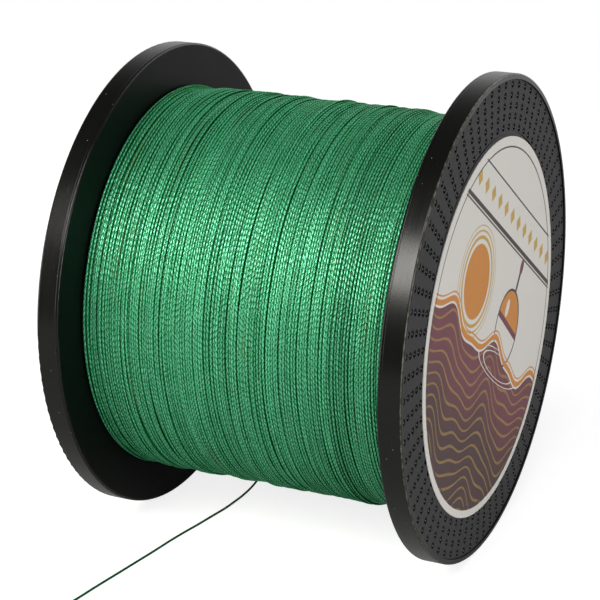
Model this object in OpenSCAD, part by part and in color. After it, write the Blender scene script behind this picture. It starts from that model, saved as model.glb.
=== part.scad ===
// Bulk spool of braided fishing line, standing on its rims.
//
// The spool is two moulded halves that snap together inside the barrel. A dotted cover
// closes the ribbed outer side of each flange, a paper label is stuck on each cover, and
// the line is wound on the barrel, its inner end held by a strip of tape.
//
// Frame: origin at the middle of the spool on its axis, +X along the axis towards the
// fully labelled flange, +Z up. The spool rests on the plane z = -flange_d / 2.

/* [Spool] */
// Diameter of both flanges
flange_d = 85; // [80:0.5:120]
// Width of the spool over both rims
spool_w = 65.2; // [56:0.1:90]

/* [Flanges] */
// Width of each flange, from its inner face to the rim's end
rim_w = 4.1; // [3.8:0.1:6]
// Wall of the rim ring
rim_wall = 0.95; // [0.8:0.05:1.2]
// Radius of the rim ring's outer edges
rim_round = 0.4; // [0.2:0.05:0.45]
// Wall of the flange, next to the line
wall_t = 1.5; // [1.2:0.1:1.8]
// Number of thin ribs that carry the cover
cover_ribs = 12; // [6:1:18]
// Thickness of the moulded ribs
rib_t = 1.2; // [0.8:0.1:1.6]

/* [Barrel] */
// Outer diameter of the barrel, under the line
barrel_d = 52; // [48:0.5:56]
// Wall of the barrel
barrel_wall = 2.4; // [2.2:0.1:3]
// Depth to which the spigot plugs into the socket
spigot_len = 8; // [6:0.5:12]
// Radius of the snap bead around the spigot
snap_r = 0.3; // [0.2:0.05:0.4]
// Clearance all round the spigot
snap_gap = 0.05; // [0.03:0.01:0.08]
// Number of stiffening ribs between hub and barrel
web_ribs = 6; // [3:3:9]
// Depth of the stiffening ribs
web_rib_h = 4; // [2:0.5:6]

/* [Hub] */
// Bore for the spindle
spindle_d = 12; // [10:0.5:14]
// Wall of the hub
hub_wall = 2; // [1.6:0.1:2.4]
// Depth of the hub, from the flange's inner face inwards
hub_len = 8; // [6:0.5:14]

/* [Covers] */
// Thickness of each cover
cover_t = 1.4; // [1.2:0.1:1.6]
// Depth of the cover's face below the rim's end
cover_inset = 0.3; // [0.25:0.05:0.4]
// Clearance around the cover and around the hub in its middle
cover_gap = 0.06; // [0.05:0.01:0.15]
// Number of rings of pits
pit_rings = 5; // [3:1:6]
// Number of pits in each ring
pit_rows = 72; // [60:4:80]
// Diameter of a pit at the cover's face
pit_d = 1.3; // [1:0.05:1.35]
// Depth of a pit
pit_depth = 0.45; // [0.3:0.05:0.5]
// Spacing of the rings of pits
pit_pitch = 1.8; // [1.6:0.05:1.85]
// Distance from the cover's edge to the outer ring of pits
pit_edge = 0.85; // [0.8:0.05:1.2]
// Width of the fine groove inside the pits
groove_w = 0.3; // [0.2:0.05:0.4]
// Depth of the fine groove
groove_depth = 0.15; // [0.1:0.05:0.3]

/* [Pegs] */
// Number of pegs that hold each cover
peg_count = 3; // [3:3:6]
// Diameter of a peg
peg_d = 4; // [3:0.1:4.5]
// Clearance all round a peg
peg_gap = 0.04; // [0.02:0.01:0.08]
// Diameter of the circle of pegs
peg_circle_d = 32; // [30:0.5:34]
// Depth of the peg sockets, from the flange's inner face inwards
socket_len = 7; // [5:0.5:9]
// Wall of the peg sockets
socket_wall = 1.3; // [1:0.1:1.6]

/* [Labels] */
// Diameter of the labels
label_d = 66.4; // [50:0.2:70]
// Thickness of the labels
label_t = 0.12; // [0.08:0.02:0.2]
// Sideways shift of the right label, which was stuck on by hand
label_shift_y = 0.5; // [-1:0.1:1]
// Downward shift of the right label
label_shift_down = 1.5; // [0:0.1:2]

/* [Tape] */
// Width of the tape strip along the barrel
tape_w = 12; // [8:1:20]
// Length of the tape strip around the barrel
tape_len = 25; // [15:1:40]
// Thickness of the tape strip
tape_t = 0.15; // [0.1:0.01:0.2]

/* [Line] */
// Diameter of the line
line_d = 0.4; // [0.3:0.02:0.45]
// Diameter over the wound line, under its last turns
pack_d = 67.5; // [60:0.5:68]
// Clearance between the wound line and the plastic
pack_gap = 0.05; // [0.02:0.01:0.1]
// Turns drawn of the last full layer
lower_turns = 20; // [10:1:20]
// Turns drawn of the part layer over it
upper_turns = 4; // [2:1:4]
// Clear height between those two layers
layer_gap = 0.5; // [0.45:0.05:0.7]

/* [Hidden] */

$fn = 96;
eps = 0.01;

rim_colour = "#161817";
cover_colour = "#3c3d3f";
label_colour = "#bfbcb4";
tape_colour = "#c9b98a";
line_colour = "#2e9a66";
line_shade = "#237a50";

// Radii, and distances along the axis from the middle of the spool
flange_r = flange_d / 2;
rim_end = spool_w / 2;
flange_in = rim_end - rim_w;
wall_out = flange_in + wall_t;
barrel_r = barrel_d / 2;
barrel_bore_r = barrel_r - barrel_wall;
spigot_r = barrel_r - barrel_wall / 2 - snap_gap;
socket_r = barrel_r - barrel_wall / 2;
snap_at = spigot_len * 0.6;
spindle_r = spindle_d / 2;
hub_r = spindle_r + hub_wall;

cover_face = rim_end - cover_inset;
cover_back = cover_face - cover_t;
cover_r = flange_r - rim_wall - cover_gap;
pit_outer_r = cover_r - pit_edge;
pit_inner_r = pit_outer_r - (pit_rings - 1) * pit_pitch;
pit_ball_r = (pow(pit_d / 2, 2) + pow(pit_depth, 2)) / (2 * pit_depth);
groove_r = pit_inner_r - pit_d / 2 - groove_w;

peg_r = peg_d / 2;
socket_bore_r = peg_r + peg_gap;
peg_len = cover_back - flange_in + socket_len - 1;
rib_margin = 1;

pack_r = pack_d / 2;
pack_bore_r = barrel_r + tape_t + pack_gap;
pack_half_w = flange_in - pack_gap;

// Round shapes are drawn along Z and laid along the spool's axis, outwards to the right
module along_axis() rotate([0, 90, 0]) children();

module ring(outer_r, inner_r, from, to) {
    translate([0, 0, from]) difference() {
        cylinder(r = outer_r, h = to - from);
        translate([0, 0, -eps]) cylinder(r = inner_r, h = to - from + 2 * eps);
    }
}

// Flat ribs like spokes, between two radii and two heights
module spokes(count, inner_r, outer_r, from, to) {
    for (i = [0:count - 1])
        rotate([0, 0, i * 360 / count])
            translate([inner_r, -rib_t / 2, from])
                cube([outer_r - inner_r, rib_t, to - from]);
}

// Places something at each peg, midway between the stiffening ribs
module at_pegs() {
    for (i = [0:peg_count - 1])
        rotate([0, 0, i * 360 / peg_count + 180 / web_ribs])
            translate([peg_circle_d / 2, 0, 0])
                children();
}

// Section of the rim ring, with rounded outer edges
module rim_section() {
    square_r = flange_r - rim_round;
    translate([flange_r - rim_wall, flange_in]) square([rim_wall - rim_round, rim_w]);
    translate([flange_r - rim_wall, flange_in + rim_round])
        square([rim_wall, rim_w - 2 * rim_round]);
    translate([square_r, flange_in + rim_round]) circle(r = rim_round);
    translate([square_r, rim_end - rim_round]) circle(r = rim_round);
}

// What both halves share: wall, rim, hub, ribs and peg sockets
module flange_moulding() {
    difference() {
        union() {
            rotate_extrude() rim_section();
            ring(flange_r - rim_round, spindle_r, flange_in, wall_out);
            ring(hub_r, spindle_r, flange_in - hub_len, cover_face);
            spokes(cover_ribs, barrel_r + rib_margin, cover_r - rib_margin, wall_out - eps, cover_back);
            spokes(
                web_ribs, hub_r - hub_wall / 2, barrel_r - barrel_wall / 2,
                flange_in - web_rib_h, flange_in + eps
            );
            at_pegs()
                translate([0, 0, flange_in - socket_len])
                    cylinder(r = socket_bore_r + socket_wall, h = socket_len + eps);
        }
        at_pegs()
            translate([0, 0, flange_in - socket_len - eps])
                cylinder(r = socket_bore_r, h = socket_len + wall_t + 2 * eps);
    }
}

module right_half() {
    color(rim_colour) along_axis() {
        flange_moulding();
        rotate_extrude() difference() {
            translate([barrel_bore_r, 0]) square([barrel_wall, flange_in + eps]);
            translate([barrel_bore_r - eps, -eps])
                square([socket_r - barrel_bore_r + eps, spigot_len + snap_gap + eps]);
            translate([spigot_r, snap_at]) circle(r = snap_r + snap_gap);
        }
    }
}

module left_half() {
    color(rim_colour) mirror([1, 0, 0]) along_axis() {
        flange_moulding();
        rotate_extrude() {
            translate([barrel_bore_r, 0]) square([barrel_wall, flange_in + eps]);
            translate([barrel_bore_r, -spigot_len]) square([spigot_r - barrel_bore_r, spigot_len + eps]);
            translate([spigot_r, -snap_at]) circle(r = snap_r);
        }
    }
}

module cover() {
    difference() {
        ring(cover_r, hub_r + cover_gap, cover_back, cover_face);
        for (i = [0:pit_rings - 1], j = [0:pit_rows - 1])
            rotate([0, 0, j * 360 / pit_rows])
                translate([pit_outer_r - i * pit_pitch, 0, cover_face - pit_depth + pit_ball_r])
                    sphere(r = pit_ball_r, $fn = 16);
        ring(groove_r + groove_w / 2, groove_r - groove_w / 2, cover_face - groove_depth, rim_end);
    }
    at_pegs()
        translate([0, 0, cover_back - peg_len])
            cylinder(r = peg_r, h = peg_len + eps);
}

module right_cover() {
    color(cover_colour) along_axis() cover();
}

module left_cover() {
    color(cover_colour) mirror([1, 0, 0]) along_axis() cover();
}

module right_label() {
    color(label_colour)
        translate([cover_face, label_shift_y, -label_shift_down])
            along_axis()
                cylinder(d = label_d, h = label_t);
}

module left_label() {
    color(label_colour) mirror([1, 0, 0]) along_axis()
        ring(label_d / 2, hub_r, cover_face, cover_face + label_t);
}

module start_tape() {
    color(tape_colour)
        along_axis()
            translate([0, 0, -tape_w / 2])
                rotate_extrude(angle = tape_len / barrel_r * 180 / PI)
                    translate([barrel_r, 0])
                        square([tape_t, tape_w]);
}

module line_pack() {
    color(line_shade) along_axis() ring(pack_r, pack_bore_r, -pack_half_w, pack_half_w);
}

// A tube of the line along a route: one ring of corners square to the route at each
// point, joined by triangles, with flat ends. Its first ring may face a given way.
function unit(v) = v / norm(v);
function heading(route, i, first) =
    i == 0 && first != undef
    ? first
    : unit(route[min(i + 1, len(route) - 1)] - route[max(i - 1, 0)]);
function corner(p, along, angle) =
    let (side = unit([1, 0, 0] - along[0] * along), up = cross(along, side))
    p + line_d / 2 * (cos(angle) * side + sin(angle) * up);

module tube(route, sides, first = undef) {
    last = len(route) - 1;
    corners = [
        for (i = [0:last], k = [0:sides - 1])
            corner(route[i], heading(route, i, first), k * 360 / sides)
    ];
    walls = [
        for (i = [0:last - 1], k = [0:sides - 1])
            let (a = i * sides + k, b = i * sides + (k + 1) % sides)
            each [[a, a + sides, b], [b, a + sides, b + sides]]
    ];
    ends = [
        for (k = [1:sides - 2])
            each [[0, k, k + 1], [last * sides, last * sides + k + 1, last * sides + k]]
    ];
    polyhedron(points = corners, faces = concat(walls, ends));
}

// The last turns: one full layer from the right flange to the left one, where the line
// climbs and comes back over itself as far as the place where its tail leaves
rings_per_turn = 24;
turns = lower_turns + upper_turns;
turn_sag = 1 / cos(180 / rings_per_turn);
lower_r = (pack_r + line_d / 2) * turn_sag;
upper_r = lower_r + line_d + layer_gap;
turns_end = flange_in - line_d;
tail_x = -12.5;
tail_angle = 48;

function turn_x(s) = s < lower_turns
    ? turns_end - 2 * turns_end * s / lower_turns
    : -turns_end + (tail_x + turns_end) * (s - lower_turns) / upper_turns;
function turn_r(s) = lower_r + (upper_r - lower_r) * min(1, max(0, s - lower_turns + 0.5));
function turn_angle(s) = tail_angle + 360 * (turns - s);
function turn_point(s) =
    [turn_x(s), turn_r(s) * sin(turn_angle(s)), -turn_r(s) * cos(turn_angle(s))];

// The turns end in a straight bit, and the tail begins square to it
exit_heading = [0, -cos(tail_angle), -sin(tail_angle)];
exit_point = turn_point(turns) + line_d * exit_heading;
turn_route = [
    for (i = [0:turns * rings_per_turn]) turn_point(i / rings_per_turn),
    exit_point
];

// The least gap between any two turns, measured on the rings' centres
turn_gap = min([
    for (i = [0:len(turn_route) - 1], j = [i + rings_per_turn / 2:1:len(turn_route) - 1])
        norm(turn_route[i] - turn_route[j])
]) - line_d;
echo(least_gap_between_turns = turn_gap);

module line_outer_turns() {
    color(line_colour) tube(turn_route, 6);
}

// The loose tail: off the turns at the lower back, down to the table in a slack curve
// and forwards along it
tail_points = [
    exit_point,
    [-12.6, 23.0, -26.5],
    [-12.8, 20.0, -29.3],
    [-13.0, 17.0, -31.9],
    [-13.3, 14.0, -34.3],
    [-13.6, 11.0, -36.5],
    [-13.9, 8.0, -38.4],
    [-14.3, 5.0, -40.0],
    [-14.7, 2.0, -41.2],
    [-15.2, -1.0, -41.9],
    [-15.7, -4.0, -42.2],
    [-16.1, -7.0, -42.3],
    [-16.8, -11.0, -42.3],
    [-17.5, -15.0, -42.3],
    [-18.3, -19.0, -42.3],
    [-19.0, -23.0, -42.3],
    [-19.7, -28.0, -42.3],
    [-20.5, -33.0, -42.3],
    [-21.3, -38.0, -42.3],
    [-22.2, -43.5, -42.3],
    [-23.0, -49.0, -42.3],
    [-23.9, -54.0, -42.3],
    [-24.9, -59.0, -42.3],
    [-26.0, -64.0, -42.3],
    [-27.2, -69.0, -42.3]
];

// A smooth curve through the points, with a few rings from each point to the next
rings_per_span = 3;
function bend(route, i) =
    i == 0
    ? exit_heading * norm(route[1] - route[0])
    : (route[min(i + 1, len(route) - 1)] - route[i - 1]) / 2;
function on_curve(route, i, t) =
    (2 * pow(t, 3) - 3 * pow(t, 2) + 1) * route[i]
    + (pow(t, 3) - 2 * pow(t, 2) + t) * bend(route, i)
    + (3 * pow(t, 2) - 2 * pow(t, 3)) * route[i + 1]
    + (pow(t, 3) - pow(t, 2)) * bend(route, i + 1);
function smooth(route) = [
    for (i = [0:len(route) - 2], k = [0:rings_per_span - 1]) on_curve(route, i, k / rings_per_span),
    route[len(route) - 1]
];

module line_tail() {
    color(line_colour) tube(smooth(tail_points), 8, exit_heading);
}

right_half();
left_half();
right_cover();
left_cover();
right_label();
left_label();
start_tape();
line_pack();
line_outer_turns();
line_tail();
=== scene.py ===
"""The looks of a bulk spool of braided fishing line.

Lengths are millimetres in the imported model's frame: origin in the middle of the spool on its
axis, +X along the axis towards the fully labelled flange, +Z up. They become metres where a mesh
or the camera is made. Soft boxes and the depth of a bump are given in metres.
"""

import logging
import math
from dataclasses import dataclass
from enum import Enum
from typing import Callable, Optional, Union

import bpy
import numpy as np
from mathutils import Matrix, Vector


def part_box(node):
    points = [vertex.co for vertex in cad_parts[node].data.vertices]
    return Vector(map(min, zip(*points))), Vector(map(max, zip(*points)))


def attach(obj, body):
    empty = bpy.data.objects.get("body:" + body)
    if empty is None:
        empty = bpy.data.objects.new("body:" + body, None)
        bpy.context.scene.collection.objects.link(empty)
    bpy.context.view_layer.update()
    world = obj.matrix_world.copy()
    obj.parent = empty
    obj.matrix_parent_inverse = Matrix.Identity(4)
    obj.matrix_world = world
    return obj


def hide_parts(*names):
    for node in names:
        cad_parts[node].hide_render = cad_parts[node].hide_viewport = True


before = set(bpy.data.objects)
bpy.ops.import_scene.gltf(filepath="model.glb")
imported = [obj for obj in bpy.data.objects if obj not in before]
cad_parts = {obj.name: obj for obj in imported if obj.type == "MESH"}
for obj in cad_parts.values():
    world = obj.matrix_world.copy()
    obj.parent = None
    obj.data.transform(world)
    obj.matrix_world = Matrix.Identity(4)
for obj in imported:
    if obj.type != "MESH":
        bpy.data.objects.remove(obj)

LOG = logging.getLogger("spool")
MM = 0.001
BODY = "root"
LINE_GAP = 0.05  # between the wound line and a flange
RIM_ROUND = 0.4  # radius of the rims' corners
Colour = tuple[float, float, float]
Number = Union[float, "Wire"]


# ---- sums on arrays


def linear(red: int, green: int, blue: int) -> Colour:
    """The linear colour of a display colour given as 0 to 255.

    Args:
        red, green, blue: the display values.

    Returns:
        The three linear values, by the sRGB curve.
    """
    share = [v / 255 for v in (red, green, blue)]
    return tuple(v / 12.92 if v < 0.04045 else ((v + 0.055) / 1.055) ** 2.4 for v in share)


def ease(t: np.ndarray) -> np.ndarray:
    """Three t squared less two t cubed, with t held between 0 and 1."""
    t = np.clip(t, 0, 1)
    return t * t * (3 - 2 * t)


def wander(at: np.ndarray, spacing: float, random: np.random.Generator) -> np.ndarray:
    """Smooth noise along a line: seeded values at even knots, eased from knot to knot.

    Args:
        at: places along the line, none below 0.
        spacing: distance between knots.
        random: the seeded source of the knots' values.

    Returns:
        Values between -1 and 1, one for each place.
    """
    knot = np.floor(at / spacing).astype(int)
    value = random.uniform(-1, 1, knot.max() + 2)
    share = ease(at / spacing - knot)
    return value[knot] * (1 - share) + value[knot + 1] * share


def unit(rows: np.ndarray) -> np.ndarray:
    """Each row divided by its own length."""
    return rows / np.linalg.norm(rows, axis=-1, keepdims=True)


def distances(route: np.ndarray) -> np.ndarray:
    """The distance along a route at each of its points, summed from step to step."""
    return np.concatenate([[0], np.cumsum(np.linalg.norm(np.diff(route, axis=0), axis=1))])


def spline(points: np.ndarray, first: np.ndarray, steps: int) -> np.ndarray:
    """A smooth curve through points: a cubic on each span, whose slope at a point is half the
    way from its neighbour before to its neighbour after.

    Args:
        points: the route, one row each.
        first: the unit heading in which the curve starts.
        steps: samples on each span.

    Returns:
        The curve's points, the last route point included.
    """
    after = np.vstack([points[1:], points[-1:]])
    before = np.vstack([points[:1], points[:-1]])
    slope = (after - before) / 2
    slope[0] = first * np.linalg.norm(points[1] - points[0])
    t = (np.arange(steps) / steps)[None, :, None]
    curve = (
        (2 * t**3 - 3 * t**2 + 1) * points[:-1, None]
        + (t**3 - 2 * t**2 + t) * slope[:-1, None]
        + (3 * t**2 - 2 * t**3) * points[1:, None]
        + (t**3 - t**2) * slope[1:, None]
    )
    return np.vstack([curve.reshape(-1, 3), points[-1:]])


# ---- surfaces


def add(name: str, data: bpy.types.ID) -> bpy.types.Object:
    """A new object with its data, linked to the scene."""
    thing = bpy.data.objects.new(name, data)
    bpy.context.scene.collection.objects.link(thing)
    return thing


@dataclass
class Surface:
    """A closed surface: points, faces as rows of point numbers, and a UV pair for each corner."""

    points: np.ndarray
    faces: np.ndarray
    uv: Optional[np.ndarray] = None

    def piece(self, name: str, sharp_over: float = 40.0) -> bpy.types.Object:
        """Puts the surface into a new object at the origin.

        Args:
            name: the piece's name.
            sharp_over: angle in degrees from which an edge stays sharp.

        Returns:
            The object, linked to the scene and riding on the spool's body.
        """
        sides = self.faces.shape[1]
        mesh = bpy.data.meshes.new(name)
        mesh.vertices.add(len(self.points))
        mesh.vertices.foreach_set("co", (self.points * MM).astype(np.float32).ravel())
        mesh.loops.add(self.faces.size)
        mesh.loops.foreach_set("vertex_index", self.faces.astype(np.int32).ravel())
        mesh.polygons.add(len(self.faces))
        starts = np.arange(0, self.faces.size, sides, dtype=np.int32)
        mesh.polygons.foreach_set("loop_start", starts)
        mesh.update(calc_edges=True)
        if self.uv is not None:
            layer = mesh.uv_layers.new(name="lay")
            layer.data.foreach_set("uv", self.uv.astype(np.float32).ravel())
        mesh.validate()
        mesh.polygons.foreach_set("use_smooth", np.ones(len(mesh.polygons), bool))
        mesh.set_sharp_from_angle(angle=math.radians(sharp_over))
        thing = add(name, mesh)
        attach(thing, BODY)
        return thing


def tube(
    centre: np.ndarray, across: np.ndarray, up: np.ndarray, sides: int, start: float = 0.0
) -> Surface:
    """A tube with flat ends: point = centre + across cos(2 pi u) + up sin(2 pi u), where u goes
    round and v along the route. Its UV is the share round and the distance along. With half a
    side as the first u, a section of 6 or 10 sides has a corner on top.

    Args:
        centre: the route, one row for each ring.
        across, up: the section's two half axes at each ring, as vectors.
        sides: corners of a ring, an even number.
        start: the distance along at the first ring.

    Returns:
        The closed surface, of four-cornered faces.
    """
    rings = len(centre)
    turn = 2 * np.pi * (np.arange(sides) + 0.5) / sides
    wall = (
        centre[:, None]
        + across[:, None] * np.cos(turn)[None, :, None]
        + up[:, None] * np.sin(turn)[None, :, None]
    ).reshape(-1, 3)
    points = np.vstack([wall, centre[:1], centre[-1:]])
    ring, side = np.meshgrid(np.arange(rings - 1), np.arange(sides), indexing="ij")
    after = (side + 1) % sides
    a, b = ring * sides + side, ring * sides + after
    walls = np.stack([a, b, b + sides, a + sides], -1).reshape(-1, 4)
    along = start + distances(centre)
    u = (np.stack([side, side + 1, side + 1, side], -1).reshape(-1, 4) + 0.5) / sides
    v = along[np.stack([ring, ring, ring + 1, ring + 1], -1).reshape(-1, 4)]
    even, last = np.arange(0, sides, 2), (rings - 1) * sides
    after_even = (even + 2) % sides
    middle = np.full_like(even, rings * sides)
    first_cap = np.stack([middle, after_even, even + 1, even], -1)
    last_cap = np.stack([middle + 1, last + even, last + even + 1, last + after_even], -1)
    caps_u = np.zeros((2 * len(even), 4))
    caps_v = np.repeat([along[0], along[-1]], len(even))[:, None] * np.ones((1, 4))
    faces = np.vstack([walls, first_cap, last_cap])
    uv = np.stack([np.vstack([u, caps_u]), np.vstack([v, caps_v])], -1)
    return Surface(points, faces, uv.reshape(-1, 2))


def turned(profile: np.ndarray, segments: int) -> Surface:
    """A closed profile of (x, radius) turned once round the spool's axis:
    point = (x, radius sin(angle), -radius cos(angle)).

    Args:
        profile: the section's corners in order, counter-clockwise with x to the right.
        segments: steps round the axis.

    Returns:
        The closed ring, of four-cornered faces that point outwards.
    """
    count = len(profile)
    angle = 2 * np.pi * np.arange(segments) / segments
    x = np.broadcast_to(profile[None, :, 0], (segments, count))
    y = profile[None, :, 1] * np.sin(angle)[:, None]
    z = -profile[None, :, 1] * np.cos(angle)[:, None]
    here = np.arange(segments * count).reshape(segments, count)
    onward = np.roll(here, -1, 0)
    faces = np.stack([here, np.roll(here, -1, 1), np.roll(onward, -1, 1), onward], -1)
    return Surface(np.stack([x, y, z], -1).reshape(-1, 3), faces.reshape(-1, 4))


# ---- shader sums


def sum_of(operation: str, turned_round: bool = False) -> Callable[["Wire", Number], "Wire"]:
    """Makes one of a wire's sums.

    Args:
        operation: the Math node's operation.
        turned_round: True where the other number comes first.

    Returns:
        The method, which adds the node.
    """

    def method(self: "Wire", other: Number) -> "Wire":
        """The sum of this value and another."""
        return self.graph.math(operation, *((other, self) if turned_round else (self, other)))

    return method


class Wire:
    """A value inside a node tree, which plain sums turn into further nodes."""

    def __init__(self, graph: "Graph", socket: bpy.types.NodeSocket) -> None:
        """Keeps the tree and the socket that gives the value."""
        self.graph = graph
        self.socket = socket

    __add__ = __radd__ = sum_of("ADD")
    __sub__, __rsub__ = sum_of("SUBTRACT"), sum_of("SUBTRACT", turned_round=True)
    __mul__ = __rmul__ = sum_of("MULTIPLY")
    __truediv__ = sum_of("DIVIDE")
    __pow__ = sum_of("POWER")

    def __abs__(self) -> "Wire":
        """This value without its sign."""
        return self.graph.math("ABSOLUTE", self)

    def rise(self, low: float, high: float) -> "Wire":
        """A smooth step.

        Args:
            low: where it starts to rise from 0.
            high: where it reaches 1; it falls instead if high is below low.

        Returns:
            The step's height for this value.
        """
        inputs = {"Value": self, "From Min": low, "From Max": high}
        made = self.graph.node("MapRange", inputs, interpolation_type="SMOOTHSTEP")
        return self.graph.wire(made)


class Graph:
    """Adds nodes to one node tree and joins them."""

    def __init__(self, tree: bpy.types.NodeTree) -> None:
        """Keeps the tree to which nodes are added."""
        self.tree = tree

    def node(self, kind: str, inputs: Optional[dict] = None, **settings: object) -> bpy.types.Node:
        """Adds a node.

        Args:
            kind: the node's class name, without its ShaderNode beginning.
            inputs: what goes into its sockets, by name or number.
            settings: its other properties.

        Returns:
            The new node.
        """
        made = self.tree.nodes.new("ShaderNode" + kind)
        for name, value in settings.items():
            setattr(made, name, value)
        for name, value in (inputs or {}).items():
            self.put(value, made.inputs[name])
        return made

    def put(self, value: object, socket: bpy.types.NodeSocket) -> None:
        """Joins a value to a socket, or sets the socket where the value is plain.

        Args:
            value: a wire, a number, a vector or a colour of three numbers.
            socket: where it goes.
        """
        if isinstance(value, Wire):
            self.tree.links.new(value.socket, socket)
        elif socket.type == "RGBA":
            socket.default_value = (*value, 1.0)
        else:
            socket.default_value = value

    def wire(self, node: bpy.types.Node, output: Union[str, int] = 0) -> Wire:
        """One of a node's outputs as a value."""
        return Wire(self, node.outputs[output])

    def math(self, operation: str, *values: Number) -> Wire:
        """A sum of one to three numbers by a Math node."""
        return self.wire(self.node("Math", dict(enumerate(values)), operation=operation))

    def join(self, x: Number, y: Number, z: Number) -> Wire:
        """A vector of three numbers."""
        return self.wire(self.node("CombineXYZ", {0: x, 1: y, 2: z}))

    def parts(self, vector: Wire) -> tuple[Wire, Wire, Wire]:
        """A vector's three numbers."""
        made = self.node("SeparateXYZ", {0: vector})
        return tuple(self.wire(made, axis) for axis in "XYZ")

    def length(self, first: Wire, second: Wire) -> Wire:
        """The length of a flat arrow: the square root of the sum of two squares."""
        return self.math("SQRT", first * first + second * second)

    def blend(self, share: Number, first: object, second: object) -> Wire:
        """A colour between two, by share."""
        made = self.node("Mix", {0: share, 6: first, 7: second}, data_type="RGBA")
        return self.wire(made, 2)

    def tint(self, colour: object, other: object) -> Wire:
        """A colour times another."""
        inputs = {0: 1.0, 6: colour, 7: other}
        made = self.node("Mix", inputs, data_type="RGBA", blend_type="MULTIPLY")
        return self.wire(made, 2)

    def noise(
        self, vector: Wire, scale: float = 1.0, detail: float = 2.0, rough: float = 0.5
    ) -> Wire:
        """Smooth noise from about 0.2 to 0.8."""
        inputs = {"Vector": vector, "Scale": scale, "Detail": detail, "Roughness": rough}
        return self.wire(self.node("TexNoise", inputs), "Fac")

    def drift(self, along: Wire, scale: float, start: float = 0.0, detail: float = 2.0) -> Wire:
        """Smooth noise along a line; another start gives another noise."""
        return self.noise(self.join(along * scale, start, 0.0), 1.0, detail)

    def bump(self, height: Wire, distance: float, strength: float = 1.0) -> Wire:
        """A normal tilted by a height.

        Args:
            height: the relief, 0 to 1.
            distance: what a height of 1 stands for, in metres.
            strength: how much of it counts.

        Returns:
            The normal.
        """
        inputs = {"Height": height, "Distance": distance, "Strength": strength}
        return self.wire(self.node("Bump", inputs))


class Effect:
    """A shader node group that several finishes share: built once, used with its own values."""

    name = "effect"
    takes: dict[str, tuple[str, object]] = {}
    gives: dict[str, str] = {}
    SOCKETS = {
        "number": "NodeSocketFloat",
        "vector": "NodeSocketVector",
        "colour": "NodeSocketColor",
    }

    def build(self, graph: Graph, given: dict[str, Wire]) -> dict[str, Wire]:
        """Adds the group's nodes.

        Args:
            graph: the group's own tree.
            given: the group's inputs, by name.

        Returns:
            The group's outputs, by name.
        """
        raise NotImplementedError

    def tree(self) -> bpy.types.NodeTree:
        """The group's tree, made the first time that it is asked for."""
        if self.name in bpy.data.node_groups:
            return bpy.data.node_groups[self.name]
        tree = bpy.data.node_groups.new(self.name, "ShaderNodeTree")
        for name, (kind, value) in self.takes.items():
            socket = tree.interface.new_socket(name, in_out="INPUT", socket_type=self.SOCKETS[kind])
            if value is not None:
                socket.default_value = value
        for name, kind in self.gives.items():
            tree.interface.new_socket(name, in_out="OUTPUT", socket_type=self.SOCKETS[kind])
        graph = Graph(tree)
        entry = tree.nodes.new("NodeGroupInput")
        exit_node = tree.nodes.new("NodeGroupOutput")
        made = self.build(graph, {name: Wire(graph, entry.outputs[name]) for name in self.takes})
        for name, value in made.items():
            graph.put(value, exit_node.inputs[name])
        return tree

    def use(self, graph: Graph, **inputs: object) -> dict[str, Wire]:
        """Places the group in a tree.

        Args:
            graph: where it goes.
            inputs: values for its inputs.

        Returns:
            Its outputs, by name.
        """
        made = graph.tree.nodes.new("ShaderNodeGroup")
        made.node_tree = self.tree()
        for name, value in inputs.items():
            graph.put(value, made.inputs[name])
        return {name: Wire(graph, made.outputs[name]) for name in self.gives}


class Handling(Effect):
    """Dust specks, hair-fine scratches round the axis and dull patches on moulded plastic."""

    name = "handling"
    takes = {"Place": ("vector", None), "Speck spacing": ("number", 2.0)}
    gives = {"Specks": "number", "Scratches": "number", "Patches": "number"}

    def build(self, graph: Graph, given: dict[str, Wire]) -> dict[str, Wire]:
        """Specks sit in a few of the scattered cells; scratches are noise drawn out round the
        axis, and broken up by coarser noise."""
        x, y, z = graph.parts(given["Place"])
        radius = graph.length(y, z)
        scale = graph.math("DIVIDE", 1.0, given["Speck spacing"])
        cell = graph.node("TexVoronoi", {"Vector": given["Place"], "Scale": scale})
        spot = graph.wire(cell, "Distance").rise(0.085, 0.03)
        chosen = graph.parts(graph.wire(cell, "Color"))[0].rise(0.6, 0.95)
        drawn = graph.join((x + radius) * 9.0, y * 0.22, z * 0.22)
        lines = graph.noise(drawn, 1.0, 3.0, 0.7)
        breaks = graph.noise(graph.join(x * 0.6, y * 0.25, z * 0.25), 1.0, 2.0)
        scratches = lines.rise(0.66, 0.74) * breaks.rise(0.5, 0.62)
        patches = graph.noise(given["Place"], 0.11, 3.0, 0.55)
        return {"Specks": spot * chosen, "Scratches": scratches, "Patches": patches}


class Grain(Effect):
    """The fine spark-eroded grain of a matte moulding."""

    name = "grain"
    takes = {"Place": ("vector", None), "Size": ("number", 0.25)}
    gives = {"Height": "number", "Mottle": "number"}

    def build(self, graph: Graph, given: dict[str, Wire]) -> dict[str, Wire]:
        """Cells of the grain's size with finer noise over them."""
        inputs = {"Vector": given["Place"], "Scale": graph.math("DIVIDE", 1.0, given["Size"])}
        cell = graph.node("TexVoronoi", inputs, feature="SMOOTH_F1")
        fine = graph.node("TexNoise", {**inputs, "Detail": 3.0})
        height = graph.wire(cell, "Distance") * 0.7 + graph.wire(fine, "Fac") * 0.6
        mottle = graph.noise(given["Place"], 1.1, 4.0, 0.65)
        return {"Height": height, "Mottle": mottle}


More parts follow.
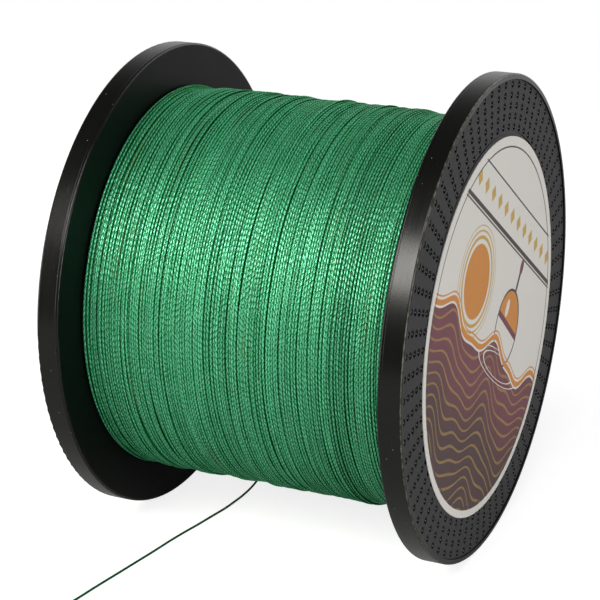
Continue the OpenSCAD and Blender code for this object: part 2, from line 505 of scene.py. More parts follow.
class BraidLay(Effect):
    """Four strands braided over and under each other, on a tube's UV."""

    name = "braid_lay"
    takes = {"Lay": ("vector", None), "Place": ("vector", None), "Plait": ("number", 0.98)}
    gives = {"Height": "number", "Strand": "number", "Long": "number", "Tone": "number"}
    AROUND = 1.38  # the way round the line
    SLANT = math.tan(math.radians(16))
    HALF_WIDTH = 0.16  # of the dome that a strand shows
    HALF_LENGTH = 0.56

    def build(self, graph: Graph, given: dict[str, Wire]) -> dict[str, Wire]:
        """Where a strand comes to the top it shows as a long slanted dome. Two columns of these
        lean one way and the two between them the other, half a plait further on; the higher dome
        shows. The line's slow twist is added to u."""
        u, v = graph.parts(given["Lay"])[:2]
        region = graph.noise(given["Place"], 0.05, 2.0) * 2.6
        twist = region + graph.drift(v, 0.02) * 0.9
        stretch = graph.drift(v, 0.09, 7.0, detail=1.0) * 2.0
        around, along = (u + twist) * 2.0, v / given["Plait"] + stretch
        first = self.column(graph, around, along, given["Plait"], self.SLANT)
        second = self.column(graph, around + 0.5, along + 0.5, given["Plait"], -self.SLANT)
        height = graph.math("MAXIMUM", first, second)
        cell = graph.join(graph.math("FLOOR", around), graph.math("FLOOR", along), 0.0)
        strand = graph.node("TexWhiteNoise", {"Vector": cell}, noise_dimensions="2D")
        return {
            "Height": height,
            "Strand": graph.wire(strand, "Value"),
            "Long": graph.drift(v, 0.03),
            "Tone": graph.drift(v, 0.016, 3.0).rise(0.3, 0.7),
        }

    def column(self, graph: Graph, around: Wire, along: Wire, plait: Wire, slant: float) -> Wire:
        """One column's domes: square root of 1 - (across / half width) squared - (along / half
        length) squared, in millimetres, with across sheared by the slant.

        Args:
            graph: the group's tree.
            around: where the place lies round the line, in columns of this lean.
            along: where it lies along the line, in plaits.
            plait: the length of a plait.
            slant: how far a strand moves across for each millimetre along.

        Returns:
            The height, from 0 to 1.
        """
        up = (graph.math("FRACT", along) - 0.5) * plait
        side = (graph.math("FRACT", around) - 0.5) * (self.AROUND / 2) - up * slant
        reach = (side / self.HALF_WIDTH) ** 2 + (up / self.HALF_LENGTH) ** 2
        return graph.math("SQRT", graph.math("MAXIMUM", 1.0 - reach, 0.0))


class LabelPrint(Effect):
    """A generic printed design, tilted on the disc: a float on the sea under a low sun,
    with pinstripes and a row of diamonds above, on an off-white ground."""

    name = "label_print"
    takes = {"Place": ("vector", None), "Middle y": ("number", 0.0), "Middle z": ("number", 0.0)}
    gives = {"Colour": "colour", "Ink": "number"}

    GROUND = linear(222, 219, 213)
    MAROON = linear(112, 58, 68)
    DEEP = linear(70, 44, 46)
    ORANGE = linear(206, 134, 54)
    GOLD = linear(196, 160, 76)
    DARK = linear(58, 52, 50)
    TILT = math.radians(-33)
    SOFT = 0.06  # half the width of a printed edge
    SUN = 6.4  # radius, as are the next three
    FLOAT = 6.2
    OUTLINE = 6.6
    FRAME = 31.4

    def build(self, graph: Graph, given: dict[str, Wire]) -> dict[str, Wire]:
        """Each motif is a mask in the disc's own p and q, in millimetres, laid over the last. The
        sign of x keeps the print the right way round on both ends of the spool."""
        x, y, z = graph.parts(given["Place"])
        y, z = (y - given["Middle y"]) * graph.math("SIGN", x), z - given["Middle z"]
        radius = graph.length(y, z)
        p = y * math.cos(self.TILT) + z * math.sin(self.TILT)
        q = z * math.cos(self.TILT) - y * math.sin(self.TILT)
        sun = self.oval(p + 13.5, q - 4.5, self.SUN, self.SUN)
        colour = graph.blend(self.within(sun, self.SUN), self.GROUND, self.ORANGE)
        for ring, half in ((7.5, 0.3), (8.6, 0.16), (9.5, 0.09)):
            colour = graph.blend(self.stripe(sun, ring, half), colour, self.GOLD)
        for level, half in ((15.2, 0.16), (16.0, 0.4), (23.4, 0.16)):
            colour = graph.blend(self.stripe(q, level, half), colour, self.DARK)
        colour = graph.blend(self.diamonds(p, q - 19.7), colour, self.GOLD)
        colour = self.float_on(graph, colour, p - 8.0, q - 2.0)
        wave = graph.math("SINE", p * 0.23 + 0.6) * 1.9 + graph.math("SINE", p * 0.51) * 0.6
        height = q - wave
        below = self.within(height, -4.2)
        crest = self.stripe(height, -3.3, 0.5) + self.stripe(height, -2.2, 0.14)
        colour = graph.blend(crest, colour, self.ORANGE)
        sea = graph.blend(height.rise(-8.0, -22.0), self.MAROON, self.DEEP)
        colour = graph.blend(below, colour, self.swell(graph, p, height, sea))
        ripple = self.oval(p - 8.0, q + 5.2, 11.0, 2.4)
        for ring in (9.5, 12.5):
            colour = graph.blend(self.stripe(ripple, ring, 0.3) * below, colour, self.GROUND)
        colour = graph.blend(self.stripe(radius, self.FRAME, 0.14), colour, self.DARK)
        margin = 1.0 - self.within(radius, self.FRAME + 0.5)
        colour = graph.blend(margin, colour, self.GROUND)
        return {"Colour": colour, "Ink": below}

    def within(self, value: Wire, level: float) -> Wire:
        """1 where the value is under the level."""
        return value.rise(level + self.SOFT, level - self.SOFT)

    def stripe(self, value: Wire, level: float, half: float) -> Wire:
        """1 where the value is within half of the level."""
        return self.within(abs(value - level), half)

    def oval(self, p: Wire, q: Wire, wide: float, high: float) -> Wire:
        """Distance from an oval's middle, with q scaled so that it is wide all round the edge."""
        return p.graph.length(p, q * (wide / high))

    def float_on(self, graph: Graph, colour: Wire, p: Wire, q: Wire) -> Wire:
        """A float that leans a little: orange above, off-white below, with a band and a stem.

        Args:
            graph: the group's tree.
            colour: what is printed so far.
            p, q: the place, from the float's middle.

        Returns:
            The colour with the float on it.
        """
        lean = 0.12
        side, up = p - q * lean, q + p * lean
        body = self.oval(side, up, self.FLOAT, 6.8)
        stem = self.stripe(side, 0.0, 0.45) * self.stripe(up, 6.0, 6.4)
        colour = graph.blend(stem, colour, self.DARK)
        tip = self.oval(side, up - 12.0, 0.9, 1.6)
        colour = graph.blend(self.within(tip, 0.9), colour, self.MAROON)
        shell = graph.blend(self.within(up, 0.6), self.ORANGE, self.GROUND)
        shell = graph.blend(self.stripe(up, 0.6, 0.55), shell, self.MAROON)
        glint = self.oval(side + 2.2, up - 3.0, 0.9, 1.7)
        shell = graph.blend(self.within(glint, 0.9), shell, self.GROUND)
        colour = graph.blend(self.within(body, self.OUTLINE), colour, self.DARK)
        return graph.blend(self.within(body, self.FLOAT), colour, shell)

    def swell(self, graph: Graph, p: Wire, q: Wire, tone: Wire) -> Wire:
        """The sea: thin light lines a step apart, which run as long slanting waves.

        Args:
            graph: the group's tree.
            p, q: the place along the sea, and its height over the first wave.
            tone: the sea's own colour there.

        Returns:
            The sea's colour.
        """
        bent = q + graph.math("SINE", p * 0.36 + q * 0.25) * 0.7
        light = graph.blend(0.38, tone, self.GOLD)
        return graph.blend(self.spread(bent, 2.1).rise(0.27, 0.17), tone, light)

    def diamonds(self, p: Wire, q: Wire) -> Wire:
        """A row of small diamonds: the sum of the distances across and up is under a size."""
        return (self.spread(p, 4.2) + abs(q) * 0.8).rise(1.3, 1.15)

    def spread(self, value: Wire, step: float) -> Wire:
        """Distance to the nearest middle of a row of steps."""
        return abs(value.graph.math("FRACT", value / step) - 0.5) * step


# ---- finishes


def new_material(name: str) -> tuple[bpy.types.Material, Graph, bpy.types.Node]:
    """An empty material with its Principled shader.

    Args:
        name: the material's name.

    Returns:
        The material, its tree and its shader.
    """
    material = bpy.data.materials.new(name)
    material.use_nodes = True
    tree = material.node_tree
    return material, Graph(tree), tree.nodes["Principled BSDF"]


def in_mm(graph: Graph) -> Wire:
    """The place on the piece, in millimetres."""
    place = graph.wire(graph.node("TexCoord"), "Object")
    inputs = {0: place, 1: (1 / MM, 1 / MM, 1 / MM)}
    return graph.wire(graph.node("VectorMath", inputs, operation="MULTIPLY"))


class Finish:
    """What all finishes share: a name, and a look that goes into a Principled shader."""

    name: str

    def look(self, graph: Graph) -> dict[str, object]:
        """Adds the finish's nodes.

        Args:
            graph: the material's tree.

        Returns:
            What goes into the shader's sockets, by name: wires, or plain values.
        """
        raise NotImplementedError

    def material(self) -> bpy.types.Material:
        """The finish as a material."""
        material, graph, shader = new_material(self.name)
        for socket, value in self.look(graph).items():
            graph.put(value, shader.inputs[socket])
        return material


@dataclass(frozen=True)
class BlackPlastic(Finish):
    """Satin black moulding of the two halves. The flanges' inner faces are duller. The rims, from
    rim_from outwards, are handled, with a broken painted highlight along the outer corners and
    a parting line, which lies parting_at from the inner face."""

    flange_in: float
    corner: float
    rim_from: float = 42.0
    parting_at: float = 0.62
    name: str = "black_plastic"
    colour: Colour = linear(8, 8, 8)
    rim_colour: Colour = linear(14, 14, 13)
    dust: Colour = linear(150, 147, 132)

    def look(self, graph: Graph) -> dict[str, object]:
        """The shader's values."""
        place = in_mm(graph)
        x, y, z = graph.parts(place)
        wear = Handling().use(graph, **{"Place": place, "Speck spacing": 1.2})
        radius, across = graph.length(y, z), abs(x)
        # where it is: on the rim, on an inner face, on an outer corner, on the parting line
        on_rim = radius.rise(self.rim_from, self.rim_from + 0.3)
        inside = across.rise(self.flange_in + 0.4, self.flange_in + 0.2) * (1.0 - on_rim)
        corner = (radius + across).rise(self.corner - 0.07, self.corner - 0.01)
        parting = abs(across - (self.flange_in + self.parting_at))
        parting = parting.rise(0.12, 0.04) * on_rim
        streaks = graph.noise(graph.join((x + radius) * 3.0, y * 0.08, z * 0.08), 1.0, 4.0, 0.6)
        edge_glint = graph.noise(place, 0.8, 3.0, 0.6).rise(0.4, 0.62)
        wear_and_glint = wear["Scratches"] * 0.12 + wear["Specks"] * (0.3 + on_rim * 0.5)
        # painted highlight: a broken light line in the dust colour along the outer corner, added to
        # the real dust specks and scratches
        wear_and_glint = graph.math("MAXIMUM", wear_and_glint, corner * (0.05 + edge_glint * 0.25))
        colour = graph.blend(on_rim - parting, self.colour, self.rim_colour)
        colour = graph.blend(wear_and_glint, colour, self.dust)
        rough = 0.17 + inside * 0.25 + on_rim * 0.08 + corner * 0.2
        rough = rough + (streaks - 0.5) * 0.1 + (wear["Patches"] - 0.5) * 0.1
        height = streaks * 0.5 + graph.noise(place, 5.0, 3.0) * 0.35
        height = height - wear["Scratches"] * 0.5 + wear["Specks"] - parting * 3.0
        return {
            "Base Color": colour,
            "Roughness": rough,
            "Metallic": inside * 0.55,
            "Normal": graph.bump(height, 0.00002, 0.35),
            "Specular IOR Level": 0.43,
            "Specular Tint": (0.7, 0.7, 0.7),
        }


@dataclass(frozen=True)
class GreyPlastic(Finish):
    """Matte dark grey moulding of the covers, with glossy pits below the face, painted near-black
    inside as shade.
    """

    face: float
    name: str = "grey_plastic"
    colour: Colour = linear(50, 50, 52)
    mottle: Colour = linear(74, 74, 76)
    dust: Colour = linear(120, 120, 118)
    pit_shade: Colour = linear(3, 3, 3)

    def look(self, graph: Graph) -> dict[str, object]:
        """The shader's values."""
        place = in_mm(graph)
        grain = Grain().use(graph, **{"Place": place, "Size": 0.22})
        wear = Handling().use(graph, **{"Place": place, "Speck spacing": 2.4})
        depth = self.face - abs(graph.parts(place)[0])
        inside = depth.rise(0.005, 0.03)
        colour = graph.blend((grain["Mottle"] - 0.35) * 0.6, self.colour, self.mottle)
        colour = graph.blend(wear["Specks"] * 0.5, colour, self.dust)
        # painted shade: near-black inside the pits, below the face
        colour = graph.blend(inside, colour, self.pit_shade)
        return {
            "Base Color": colour,
            "Roughness": 0.62 - inside * 0.4 + (grain["Mottle"] - 0.5) * 0.1,
            "Normal": graph.bump(grain["Height"] * (1.0 - inside), 0.00004, 0.5),
            "Specular IOR Level": 0.25,
        }


@dataclass(frozen=True)
class PrintedPaper(Finish):
    """Coated label paper with its printed design, a little clouded."""

    middle_y: float
    middle_z: float
    name: str = "printed_paper"
    clean: Colour = (1.0, 1.0, 1.0)
    clouded: Colour = (0.8, 0.79, 0.77)

    def look(self, graph: Graph) -> dict[str, object]:
        """The shader's values."""
        place = in_mm(graph)
        middle = {"Middle y": self.middle_y, "Middle z": self.middle_z}
        design = LabelPrint().use(graph, **{"Place": place, **middle})
        fibre = graph.noise(place, 3.0, 5.0, 0.7)
        cloud = graph.noise(place, 0.09, 3.0)
        shade = graph.blend(fibre * 0.2 + cloud * 0.25, self.clean, self.clouded)
        return {
            "Base Color": graph.tint(design["Colour"], shade),
            "Roughness": 0.4 - design["Ink"] * 0.05 + (fibre - 0.5) * 0.1,
            "Normal": graph.bump(fibre * 0.3 + cloud * 0.7, 0.0002, 0.3),
        }


@dataclass(frozen=True)
class MaskingTape(Finish):
    """Pale crinkled tape that holds the line's inner end."""

    name: str = "masking_tape"
    colour: Colour = linear(201, 185, 138)
    crease: Colour = linear(170, 150, 105)

    def look(self, graph: Graph) -> dict[str, object]:
        """The shader's values."""
        x, y, z = graph.parts(in_mm(graph))
        crinkle = graph.noise(graph.join(x * 2.5, y * 0.6, z * 0.6), 1.0, 4.0, 0.6)
        return {
            "Base Color": graph.blend(crinkle, self.colour, self.crease),
            "Roughness": 0.5 + crinkle * 0.2,
            "Normal": graph.bump(crinkle, 0.0001, 0.6),
        }


@dataclass(frozen=True)
class GreenBraid(Finish):
    """Waxed green braid: shiny where a strand rides over another on the outward side, with a
    painted highlight there, painted shade in its grooves and in the seams beside its neighbours,
    and olive on a few aged stretches."""

    name: str = "green_braid"
    plait: float = 0.98
    groove_shade: Colour = linear(0, 100, 52)
    body: Colour = linear(0, 152, 95)
    crest: Colour = linear(138, 230, 185)
    seam_shade_colour: Colour = linear(0, 104, 44)
    olive: Colour = linear(84, 100, 40)
    roughness: float = 0.48
    wax_roughness: float = 0.42
    sheen: float = 0.6
    packed: float = 1.0

    def look(self, graph: Graph) -> dict[str, object]:
        """The shader's values. The tube's u says where the surface faces: its sine is 1 on the
        outward side. Packed, the strength of the painted seam shade, is 1 for turns pressed
        together, and 0 for line that lies free."""
        lay, place = graph.wire(graph.node("UVMap", uv_map="lay")), in_mm(graph)
        braid = BraidLay().use(graph, **{"Lay": lay, "Place": place, "Plait": self.plait})
        outward = graph.math("SINE", graph.parts(lay)[0] * (2 * math.pi))
        # where it is: on the line's ridge, on a raised strand, by a neighbour, on an aged stretch
        ridge = outward.rise(0.15, 0.9)
        fleck = braid["Height"].rise(0.2, 0.85) * (0.6 + 0.4 * braid["Strand"])
        shine = ridge * (0.14 + 0.86 * fleck)
        press = graph.noise(place, 0.45, 2.0).rise(0.38, 0.58)
        shaded_seam = outward.rise(0.97, 0.45) * (0.4 + press * 0.6) * self.packed
        aged = braid["Long"].rise(0.56, 0.7) * (0.2 + shaded_seam * 0.6)
        # painted shade in the grooves between the braid's strands, where their height is low
        colour = graph.blend(braid["Height"].rise(0.05, 0.5), self.groove_shade, self.body)
        # painted highlight: pale crest colour on each turn's outward ridge, strongest on raised
        # strands
        colour = graph.blend(ridge * (0.08 + 0.58 * fleck), colour, self.crest)
        colour = graph.tint(colour, 0.76 + braid["Tone"] * 0.44)
        # painted shade in the seams where neighbouring turns press together
        colour = graph.blend(shaded_seam, colour, self.seam_shade_colour)
        colour = graph.blend(aged, colour, self.olive)
        return {
            "Base Color": colour,
            "Roughness": self.roughness - shine * 0.08,
            "Metallic": (1.0 - shaded_seam * 0.6) * self.sheen,
            "Normal": graph.bump(braid["Height"], 0.00003),
            "Coat Weight": (1.0 - shaded_seam) * (0.03 + shine * 0.75),
            "Coat Roughness": self.wax_roughness,
            "Specular IOR Level": 0.0,
            "Specular Tint": (0.1, 0.25, 0.15),
        }


# ---- the spool's parts


@dataclass(frozen=True)
class Span:
    """A CAD node's box, in millimetres."""

    low: tuple[float, float, float]
    high: tuple[float, float, float]

    @classmethod
    def of(cls, node: str) -> "Span":
        """The box of a node, by its name."""
        low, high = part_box(node)
        return cls(tuple(v / MM for v in low), tuple(v / MM for v in high))


@dataclass(frozen=True)
class Mouldings:
    """The halves, covers, labels and tape, whose shapes are the CAD model's own."""

    flange_in: float
    half: Span
    cover: Span
    label: Span

    @property
    def corner(self) -> float:
        """The rim's rounded outer corner, as the sum of radius and distance from the middle."""
        return self.half.high[0] + self.half.high[2] - RIM_ROUND * (2 - math.sqrt(2))

    def build(self) -> None:
        """Makes the finishes and puts each on its nodes, on both sides of the spool."""
        middle_y, middle_z = (
            (self.label.low[axis] + self.label.high[axis]) / 2 for axis in (1, 2)
        )
        finishes = {
            "half": BlackPlastic(self.flange_in, self.corner),
            "cover": GreyPlastic(self.cover.high[0]),
            "label": PrintedPaper(middle_y, middle_z),
        }
        for part, finish in finishes.items():
            material = finish.material()
            for side in ("right", "left"):
                self.dress(f"{side}_{part}", material)
        self.dress("start_tape", MaskingTape().material())

    def dress(self, node: str, material: bpy.types.Material) -> None:
        """Gives a CAD node its finish in all its material slots."""
        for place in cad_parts[node].material_slots:
            place.material = material
        LOG.info("CAD node %s wears %s", node, material.name)


@dataclass
class LooseTail:
    """The line's loose end: off the turns at the lower back, down to the table and forwards."""

    diameter: float = 0.4
    exit_x: float = -12.5
    exit_radius: float = 35.143
    exit_angle: float = math.radians(48)
    steps: int = 10
    sides: int = 12
    route: tuple[tuple[float, float, float], ...] = (
        (-12.6, 23.0, -26.5),
        (-12.8, 20.0, -29.3),
        (-13.0, 17.0, -31.9),
        (-13.3, 14.0, -34.3),
        (-13.6, 11.0, -36.5),
        (-13.9, 8.0, -38.4),
        (-14.3, 5.0, -40.0),
        (-14.7, 2.0, -41.2),
        (-15.2, -1.0, -41.9),
        (-15.7, -4.0, -42.2),
        (-16.1, -7.0, -42.3),
        (-16.8, -11.0, -42.3),
        (-17.5, -15.0, -42.3),
        (-18.3, -19.0, -42.3),
        (-19.0, -23.0, -42.3),
        (-19.7, -28.0, -42.3),
        (-20.5, -33.0, -42.3),
        (-21.3, -38.0, -42.3),
        (-22.2, -43.5, -42.3),
        (-23.0, -49.0, -42.3),
        (-23.9, -54.0, -42.3),
        (-24.9, -59.0, -42.3),
        (-26.0, -64.0, -42.3),
        (-27.2, -69.0, -42.3),
    )

    @property
    def heading(self) -> np.ndarray:
        """The way in which the line leaves the turns."""
        return np.array([0.0, -math.cos(self.exit_angle), -math.sin(self.exit_angle)])

    @property
    def exit(self) -> np.ndarray:
        """Where the turns end, one diameter past their last ring."""
        y = self.exit_radius * math.sin(self.exit_angle)
        z = -self.exit_radius * math.cos(self.exit_angle)
        return np.array([self.exit_x, y, z]) + self.diameter * self.heading

    def build(self, braid: bpy.types.Material) -> bpy.types.Object:
        """Args:
            braid: the line's finish.

        Returns:
            The piece.
        """
        centre = spline(np.vstack([self.exit, np.array(self.route)]), self.heading, self.steps)
        heading = unit(np.gradient(centre, axis=0))
        heading[0] = self.heading
        across = unit(np.array([1.0, 0, 0]) - heading[:, :1] * heading)
        up = np.cross(heading, across)
        radius = self.diameter / 2
        piece = tube(centre, across * radius, up * radius, self.sides).piece("loose_tail", 60)
        piece.data.materials.append(braid)
        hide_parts("line_tail")
        return piece


@dataclass
class Winding:
    """The wound line: one run of flattened braid that crosses from the left flange to the right
    one, back over itself, and over itself again to where the tail leaves, on a plain core.

    Stray and perch are noises, as spacing in turns and reach: stray moves a turn sideways, perch
    outwards. Over the last rings, rounding in number, the flat line becomes the round tail."""

    flange_in: float
    tail: LooseTail
    core_bore: float = 26.2
    half_width: float = 0.245
    half_height: float = 0.17
    pitch: float = 0.505
    seat_radius: float = 34.2
    crown: float = 0.35
    ripple: float = 0.12
    ripple_lengths: tuple[float, float] = (7.5, 11.3)
    layer: float = 0.27
    rings: int = 144
    sides: int = 6
    rounding: int = 18
    sharp_over: float = 80.0
    core_samples: int = 181
    seed: int = 11
    stray: tuple[tuple[float, float], ...] = (
        (0.05, 0.05),
        (0.12, 0.1),
        (0.25, 0.07),
        (1.7, 0.09),
        (5.3, 0.12),
    )
    perch: tuple[tuple[float, float], ...] = ((0.11, 0.05), (0.37, 0.07))

    @property
    def end_x(self) -> float:
        """How far from the middle the outermost turns lie."""
        return self.flange_in - LINE_GAP - self.half_width

    def seat(self, x: np.ndarray) -> np.ndarray:
        """Radius of the last full layer's middle: a crown that falls with x squared, and the
        slow swell of uneven winding, which is the sum of two sines.

        Args:
            x: places along the axis.

        Returns:
            The radius at each.
        """
        crown = self.crown * (1 - (x / self.end_x) ** 2)
        first, second = (2 * np.pi * x / length for length in self.ripple_lengths)
        swell = np.sin(first + 0.8) + 0.6 * np.sin(second)
        return self.seat_radius + crown + self.ripple * swell

    def route(self) -> tuple[np.ndarray, np.ndarray, list[int]]:
        """Works out the run. With s in turns, x goes evenly from flange to flange twice and on to
        the tail, plus a stray sum of smooth noises; the angle falls by a turn for each s; and the
        radius is the seat, plus a step for each layer, plus a lift where a turn lies on an earlier
        turn of its layer: 2 half heights x (1 - (gap / width) squared), plus smooth noise.

        Returns:
            The middle of the line and the way outwards at each ring, and the rings at which one
            layer ends and the next starts.
        """
        random = np.random.default_rng(self.seed)
        full = round(2 * self.end_x / self.pitch)
        part = round((self.tail.exit_x + self.end_x) / self.pitch)
        ends = [0, full, 2 * full, 2 * full + part]
        turns = ends[-1]
        s = np.arange(turns * self.rings + 1) / self.rings
        x = np.interp(s, ends, [-self.end_x, self.end_x, -self.end_x, self.tail.exit_x])
        loose = ease(turns - s)
        for spacing, reach in self.stray:
            x = x + loose * reach * wander(s, spacing, random)
        x = np.clip(x, -self.end_x, self.end_x)
        lift = np.zeros_like(x)
        for back_by in (1, 2, 3):  # turns
            skip = back_by * self.rings
            gap = np.abs(x[skip:] - x[:-skip]) / (2 * self.half_width)
            over = 2 * self.half_height * np.clip(1 - gap**2, 0, 1)
            lift[skip:] = np.maximum(lift[skip:], over)
        lift = np.convolve(np.pad(lift, 2, mode="edge"), np.full(5, 1 / 5), mode="valid")
        for spacing, reach in self.perch:
            lift = lift + loose * reach * wander(s, spacing, random)
        steps = ease(s - full + 0.5) + ease(s - 2 * full + 0.5) - 1
        radius = self.seat(x) + lift + self.layer * steps
        last = ease((s - turns + 0.5) / 0.5)
        radius = radius * (1 - last) + self.tail.exit_radius * last
        angle = self.tail.exit_angle + 2 * np.pi * (turns - s)
        outward = np.stack([np.zeros_like(x), np.sin(angle), -np.cos(angle)], -1)
        centre = outward * radius[:, None]
        centre[:, 0] = x
        centre = np.vstack([centre, self.tail.exit])
        outward = np.vstack([outward, outward[-1:]])
        LOG.info("wound line: %d turns, radius %.2f to %.2f", turns, radius.min(), radius.max())
        return centre, outward, [round(end * self.rings) for end in ends[:-1]] + [len(centre) - 1]

    def build(self, braid: bpy.types.Material, deep: bpy.types.Material) -> None:
        """Makes the run, a piece for each of its layers, and the core.

        Args:
            braid: the line's finish.
            deep: the finish of the turns deeper down, a darker copy of the braid as painted shade.
        """
        centre, outward, ends = self.route()
        from_last = np.arange(len(centre))[:, None] - (len(centre) - 1)
        share = ease((from_last + self.rounding) / self.rounding)
        round_half = self.tail.diameter / 2
        width = self.half_width * (1 - share) + round_half * share
        height = self.half_height * (1 - share) + round_half * share
        across = np.array([1.0, 0, 0]) * width
        up = outward * height
        along = distances(centre)
        layers = (
            ("wound_under", "line_pack"),
            ("wound_line", "line_outer_turns"),
            ("wound_top", "line_outer_turns"),
        )
        for (name, stands_for), first, last in zip(layers, ends, ends[1:]):
            part = slice(first, last + 1)
            surface = tube(centre[part], across[part], up[part], self.sides, along[first])
            run = surface.piece(name, self.sharp_over)
            run.data.materials.append(braid)
            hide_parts(stands_for)
            LOG.info("%s: %d rings", name, last + 1 - first)
        core = self.core().piece("wound_core", self.sharp_over)
        core.data.materials.append(deep)
        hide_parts("line_pack")

    def core(self) -> Surface:
        """A ring under the run, whose outer side lies just inside the middle of the first layer."""
        x = np.linspace(-self.end_x, self.end_x, self.core_samples)
        outer = np.stack([x, self.seat(x) - self.layer - self.half_height * 0.6], -1)
        inner = np.array([[self.end_x, self.core_bore], [-self.end_x, self.core_bore]])
        return turned(np.vstack([outer, inner]), self.rings)


# ---- studio


def arrow(azimuth: float, elevation: float) -> Vector:
    """The arrow (sin a cos e, -cos a cos e, sin e), one long, from the spool's middle.

    Args:
        azimuth: degrees round the upright, 0 at the front and 90 at the right.
        elevation: degrees above the horizon.

    Returns:
        The arrow.
    """
    a, e = math.radians(azimuth), math.radians(elevation)
    return Vector((math.sin(a) * math.cos(e), -math.cos(a) * math.cos(e), math.sin(e)))


def stand(thing: bpy.types.Object, place: Vector, back: Vector) -> None:
    """Puts a camera or soft box at a place, with an arrow pointing out of its back."""
    thing.location = place
    thing.rotation_mode = "QUATERNION"
    thing.rotation_quaternion = (-back).to_track_quat("-Z", "Y")


@dataclass(frozen=True)
class Camera:
    """A camera that looks from the front right and above. It stands distance away from the
    spool's middle, then moves aside to the right and by lift upwards without turning."""

    azimuth: float = 24.674
    elevation: float = 19.256
    distance: float = 335.2
    aside: float = -3.55
    lift: float = -0.92
    lens: float = 112.29
    sensor: float = 36.0

    def build(self) -> None:
        """Makes the camera and sets it as the scene's."""
        back = arrow(self.azimuth, self.elevation)
        right = arrow(self.azimuth + 90, 0)
        up = arrow(self.azimuth, self.elevation + 90)
        data = bpy.data.cameras.new("camera")
        data.lens = self.lens
        data.sensor_width = self.sensor
        data.dof.use_dof = False
        data.clip_start = 0.01
        camera = add("camera", data)
        place = back * self.distance + right * self.aside + up * self.lift
        stand(camera, place * MM, back)
        bpy.context.scene.camera = camera


@dataclass(frozen=True)
class SoftBox:
    """A soft box: the arrow towards it in degrees, its power in watts, its size and distance in
    metres, and the share of blue in its light."""

    azimuth: float
    elevation: float
    power: float
    width: float
    height: float
    blue: float = 1.0
    distance: float = 1.0


class Lamp(Enum):
    """The studio's soft boxes."""

    KEY = SoftBox(-15.0, 36.5, 7.8, 0.4, 0.36, 0.92)
    HIGH = SoftBox(10.0, 56.0, 3.0, 0.4, 0.3)
    SIDE = SoftBox(66.0, 10.0, 6.0, 0.6, 0.5)
    FILL = SoftBox(-60.0, 4.0, 3.7, 0.6, 0.5)
    BACK = SoftBox(155.0, 22.0, 1.4, 0.8, 0.6)


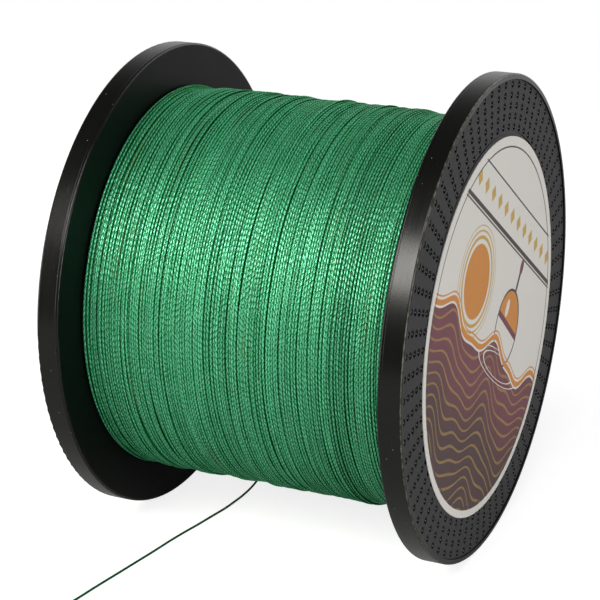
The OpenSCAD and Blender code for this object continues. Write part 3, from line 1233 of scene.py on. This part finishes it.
@dataclass(frozen=True)
class Studio:
    """A pale floor, soft boxes and a white background that lights little."""

    floor_z: float
    floor_radius: float = 330.0
    floor_sides: int = 96
    floor_grey: float = 0.42
    floor_glow: float = 0.8
    floor_mirrored: float = 0.02
    ambient: float = 0.1

    def build(self) -> None:
        """Makes the floor, the lamps and the world."""
        self.floor()
        for lamp in Lamp:
            self.light(lamp)
        self.world()
        bpy.context.scene.view_settings.view_transform = "Standard"

    def floor(self) -> None:
        """A pale round table top. A glow that the camera sees, and reflections hardly do, lifts
        it to white and leaves the spool's shadow."""
        turn = 2 * np.pi * np.arange(self.floor_sides) / self.floor_sides
        wide, deep = self.floor_radius * np.cos(turn), self.floor_radius * np.sin(turn)
        rim = np.stack([wide, deep, np.full_like(turn, self.floor_z)], -1)
        mesh = bpy.data.meshes.new("floor")
        mesh.from_pydata((rim * MM).tolist(), [], [list(range(self.floor_sides))])
        floor = add("floor", mesh)
        material, graph, shader = new_material("floor")
        shader.inputs["Base Color"].default_value = (*[self.floor_grey] * 3, 1)
        shader.inputs["Roughness"].default_value = 0.9
        glow = graph.node("Emission", {"Color": (1, 1, 1), "Strength": self.floor_glow})
        plain = graph.wire(shader)
        lit = graph.wire(graph.node("AddShader", {0: graph.wire(glow), 1: plain}))
        camera, bent = rays(graph)
        share = graph.math("MAXIMUM", camera, bent * self.floor_mirrored)
        seen = graph.node("MixShader", {0: share, 1: plain, 2: lit})
        graph.put(graph.wire(seen), material.node_tree.nodes["Material Output"].inputs["Surface"])
        mesh.materials.append(material)

    def light(self, lamp: Lamp) -> None:
        """Makes one soft box that faces the spool's middle.

        Args:
            lamp: which one.
        """
        box = lamp.value
        away = arrow(box.azimuth, box.elevation)
        data = bpy.data.lights.new(lamp.name.lower(), "AREA")
        data.shape = "RECTANGLE"
        data.size, data.size_y = box.width, box.height
        data.energy = box.power
        data.color = (1.0, 0.8 + 0.2 * box.blue, box.blue)
        stand(add(lamp.name.lower(), data), away * box.distance, away)

    def world(self) -> None:
        """White where the camera sees it. A reflection finds it pale behind the spool, less so
        higher up, and black in front. All other light gets the ambient level from it."""
        world = bpy.data.worlds.new("studio")
        bpy.context.scene.world = world
        world.use_nodes = True
        graph = Graph(world.node_tree)
        world.node_tree.nodes.clear()
        y, z = graph.parts(graph.wire(graph.node("TexCoord"), "Generated"))[1:]
        behind = y.rise(0.05, 0.85) * (0.68 - z.rise(0.25, 0.8) * 0.56)
        camera, bent = rays(graph)
        level = self.ambient + bent * (behind - self.ambient)
        level = level + camera * (1.0 - level)
        sky = graph.node("Background", {"Color": (1, 1, 1), "Strength": level})
        output = graph.node("OutputWorld")
        graph.put(graph.wire(sky), output.inputs["Surface"])


def rays(graph: Graph) -> tuple[Wire, Wire]:
    """Which ray asks: 1 for one from the camera, and 1 for one from a mirror or glass.

    Args:
        graph: the tree that asks.

    Returns:
        The two values.
    """
    path = graph.node("LightPath")
    camera, glossy, through = (
        graph.wire(path, f"Is {kind} Ray") for kind in ("Camera", "Glossy", "Transmission")
    )
    return camera, graph.math("MAXIMUM", glossy, through)


def main() -> None:
    """Builds and dresses the spool, piece by piece."""
    logging.basicConfig(level=logging.INFO, format="%(name)s: %(message)s")
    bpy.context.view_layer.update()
    Camera().build()
    braid = GreenBraid().material()
    # a darker copy of the braid's colours: painted shade on the core deep under the turns
    deep = GreenBraid(
        name="green_braid_shaded_deep",
        groove_shade=linear(2, 34, 20),
        body=linear(20, 84, 52),
        crest=linear(40, 110, 74),
    ).material()
    # a darker copy of the braid's colours: painted shade over the whole loose tail
    free = GreenBraid(
        name="green_braid_shaded_free",
        groove_shade=linear(0, 26, 16),
        body=linear(0, 82, 48),
        crest=linear(14, 126, 78),
        packed=0.0,
    ).material()
    tail = LooseTail()
    tail.build(free)
    half, cover, label = (Span.of("right_" + part) for part in ("half", "cover", "label"))
    flange_in = Span.of("line_pack").high[0] + LINE_GAP
    Winding(flange_in, tail).build(braid, deep)
    Mouldings(flange_in, half, cover, label).build()
    Studio(-half.high[2]).build()


if __name__ == "__main__":
    main()
